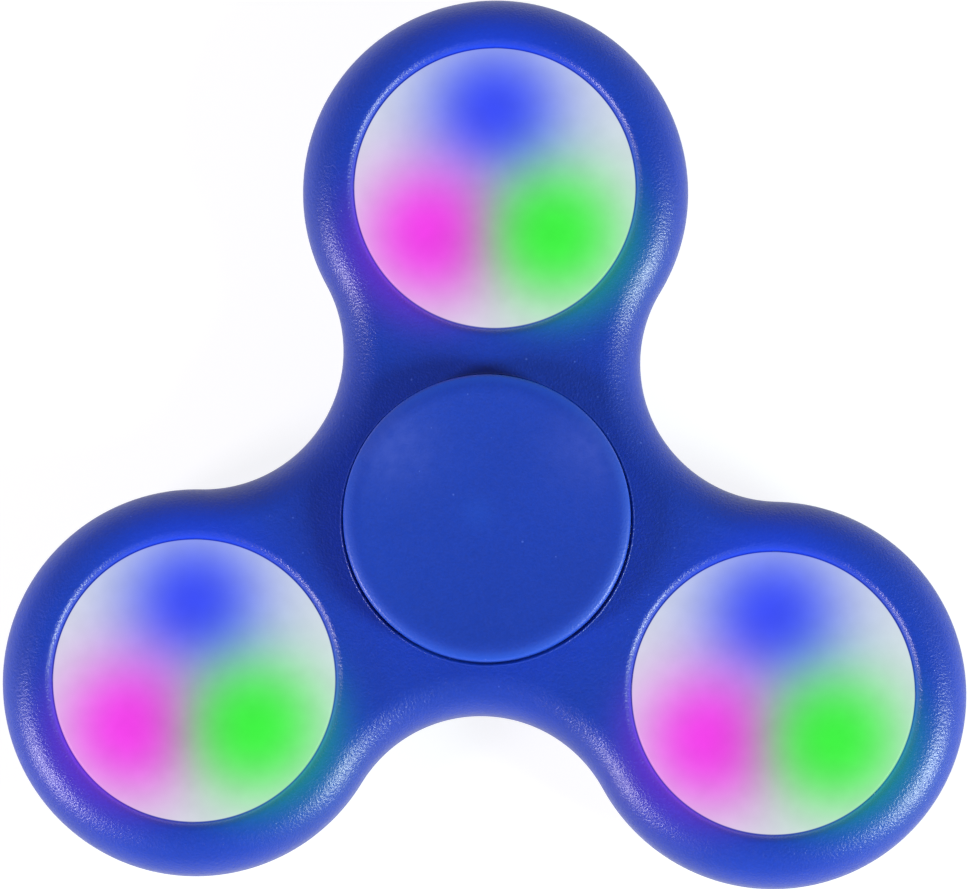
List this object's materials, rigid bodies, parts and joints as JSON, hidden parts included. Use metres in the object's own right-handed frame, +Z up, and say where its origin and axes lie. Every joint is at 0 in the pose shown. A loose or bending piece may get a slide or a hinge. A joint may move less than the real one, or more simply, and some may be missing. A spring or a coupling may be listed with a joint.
{
  "type": "light-up fidget spinner",
  "caption": "Three-lobed hand spinner with lit frosted lamp capsules, turning on a ball bearing between two round dished finger caps.",
  "frame": {"origin": "centre of the bottom finger cap's flat ring, on the spin axis, where the spinner rests on a table", "axes": "+Z up along the spin axis towards the top finger cap and the lamps' lenses; +Y towards lamp 1; +X to the right, with lamp 2 on the left and lamp 3 on the right"},
  "size_m": [0.0752, 0.0692, 0.013],
  "materials": {
    "body_blue": "satin moulded, spark-eroded grain",
    "cap_blue": "satin moulded",
    "bearing_steel": "ground and polished",
    "stamped_steel": "stamped sheet",
    "frosted_lens": "milky diffusing plastic",
    "cover_white": "milky plastic",
    "button_white": "gloss",
    "board_green": "solder resist",
    "led_blue": "LED package, lit",
    "led_pink": "LED package, lit",
    "led_green": "LED package, lit",
    "cell_steel": "nickel plated",
    "contact_metal": "plated spring sheet",
    "chip_resin": "black resin",
    "switch_black": "moulded"
  },
  "bodies": {
    "finger_grip": {"bottom_finger_cap": "cap_blue", "top_finger_cap": "cap_blue", "bearing_inner_ring": "bearing_steel"},
    "rotor": {"spinner_body": "body_blue", "bearing_outer_ring": "bearing_steel", "bearing_shield_top": "stamped_steel", "bearing_shield_bottom": "stamped_steel", "lamp_1_front_lens": "frosted_lens", "lamp_1_back_cover": "cover_white", "lamp_1_circuit_board": "board_green", "lamp_1_blue_led": "led_blue", "lamp_1_pink_led": "led_pink", "lamp_1_green_led": "led_green", "lamp_1_cell_1": "cell_steel", "lamp_1_cell_2": "cell_steel", "lamp_1_cell_3": "cell_steel", "lamp_1_cell_contacts": "contact_metal", "lamp_1_driver_chip": "chip_resin", "lamp_1_switch_case": "switch_black", "lamp_1_switch_dome": "stamped_steel", "lamp_2_front_lens": "frosted_lens", "lamp_2_back_cover": "cover_white", "lamp_2_circuit_board": "board_green", "lamp_2_blue_led": "led_blue", "lamp_2_pink_led": "led_pink", "lamp_2_green_led": "led_green", "lamp_2_cell_1": "cell_steel", "lamp_2_cell_2": "cell_steel", "lamp_2_cell_3": "cell_steel", "lamp_2_cell_contacts": "contact_metal", "lamp_2_driver_chip": "chip_resin", "lamp_2_switch_case": "switch_black", "lamp_2_switch_dome": "stamped_steel", "lamp_3_front_lens": "frosted_lens", "lamp_3_back_cover": "cover_white", "lamp_3_circuit_board": "board_green", "lamp_3_blue_led": "led_blue", "lamp_3_pink_led": "led_pink", "lamp_3_green_led": "led_green", "lamp_3_cell_1": "cell_steel", "lamp_3_cell_2": "cell_steel", "lamp_3_cell_3": "cell_steel", "lamp_3_cell_contacts": "contact_metal", "lamp_3_driver_chip": "chip_resin", "lamp_3_switch_case": "switch_black", "lamp_3_switch_dome": "stamped_steel"},
    "ball_cage": {"cage_upper_half": "stamped_steel", "cage_lower_half": "stamped_steel", "cage_rivets": "stamped_steel"},
    "ball_1": {"bearing_ball_1": "bearing_steel"},
    "ball_2": {"bearing_ball_2": "bearing_steel"},
    "ball_3": {"bearing_ball_3": "bearing_steel"},
    "ball_4": {"bearing_ball_4": "bearing_steel"},
    "ball_5": {"bearing_ball_5": "bearing_steel"},
    "ball_6": {"bearing_ball_6": "bearing_steel"},
    "ball_7": {"bearing_ball_7": "bearing_steel"},
    "mode_button_1": {"lamp_1_mode_button": "button_white"},
    "mode_button_2": {"lamp_2_mode_button": "button_white"},
    "mode_button_3": {"lamp_3_mode_button": "button_white"}
  },
  "joints": [
    {"name": "rotor_spin", "type": "hinge", "parent": "finger_grip", "child": "rotor", "pos_m": [0, 0, 0.0065], "axis": [0, 0, 1], "continuous": true},
    {"name": "cage_orbit", "type": "hinge", "parent": "finger_grip", "child": "ball_cage", "pos_m": [0, 0, 0.0065], "axis": [0, 0, 1], "continuous": true},
    {"name": "ball_1_roll", "type": "hinge", "parent": "ball_cage", "child": "ball_1", "pos_m": [0.0075, 0, 0.0065], "axis": [0, 0, 1], "continuous": true},
    {"name": "ball_2_roll", "type": "hinge", "parent": "ball_cage", "child": "ball_2", "pos_m": [0.00468, 0.00586, 0.0065], "axis": [0, 0, 1], "continuous": true},
    {"name": "ball_3_roll", "type": "hinge", "parent": "ball_cage", "child": "ball_3", "pos_m": [-0.00167, 0.00731, 0.0065], "axis": [0, 0, 1], "continuous": true},
    {"name": "ball_4_roll", "type": "hinge", "parent": "ball_cage", "child": "ball_4", "pos_m": [-0.00676, 0.00325, 0.0065], "axis": [0, 0, 1], "continuous": true},
    {"name": "ball_5_roll", "type": "hinge", "parent": "ball_cage", "child": "ball_5", "pos_m": [-0.00676, -0.00325, 0.0065], "axis": [0, 0, 1], "continuous": true},
    {"name": "ball_6_roll", "type": "hinge", "parent": "ball_cage", "child": "ball_6", "pos_m": [-0.00167, -0.00731, 0.0065], "axis": [0, 0, 1], "continuous": true},
    {"name": "ball_7_roll", "type": "hinge", "parent": "ball_cage", "child": "ball_7", "pos_m": [0.00468, -0.00586, 0.0065], "axis": [0, 0, 1], "continuous": true},
    {"name": "button_1_press", "type": "slide", "parent": "rotor", "child": "mode_button_1", "axis": [0, 0, 1], "range_m": [0, 0.0003], "stiffness_N_per_m": 2000, "springref_m": -0.0002, "deforming": ["lamp_1_switch_dome"]},
    {"name": "button_2_press", "type": "slide", "parent": "rotor", "child": "mode_button_2", "axis": [0, 0, 1], "range_m": [0, 0.0003], "stiffness_N_per_m": 2000, "springref_m": -0.0002, "deforming": ["lamp_2_switch_dome"]},
    {"name": "button_3_press", "type": "slide", "parent": "rotor", "child": "mode_button_3", "axis": [0, 0, 1], "range_m": [0, 0.0003], "stiffness_N_per_m": 2000, "springref_m": -0.0002, "deforming": ["lamp_3_switch_dome"]}
  ],
  "couplings": [
    {"joint": "cage_orbit", "follows": "rotor_spin", "ratio": 0.6323},
    {"joint": "ball_1_roll", "follows": "rotor_spin", "ratio": 1.7573},
    {"joint": "ball_2_roll", "follows": "rotor_spin", "ratio": 1.7573},
    {"joint": "ball_3_roll", "follows": "rotor_spin", "ratio": 1.7573},
    {"joint": "ball_4_roll", "follows": "rotor_spin", "ratio": 1.7573},
    {"joint": "ball_5_roll", "follows": "rotor_spin", "ratio": 1.7573},
    {"joint": "ball_6_roll", "follows": "rotor_spin", "ratio": 1.7573},
    {"joint": "ball_7_roll", "follows": "rotor_spin", "ratio": 1.7573}
  ]
}
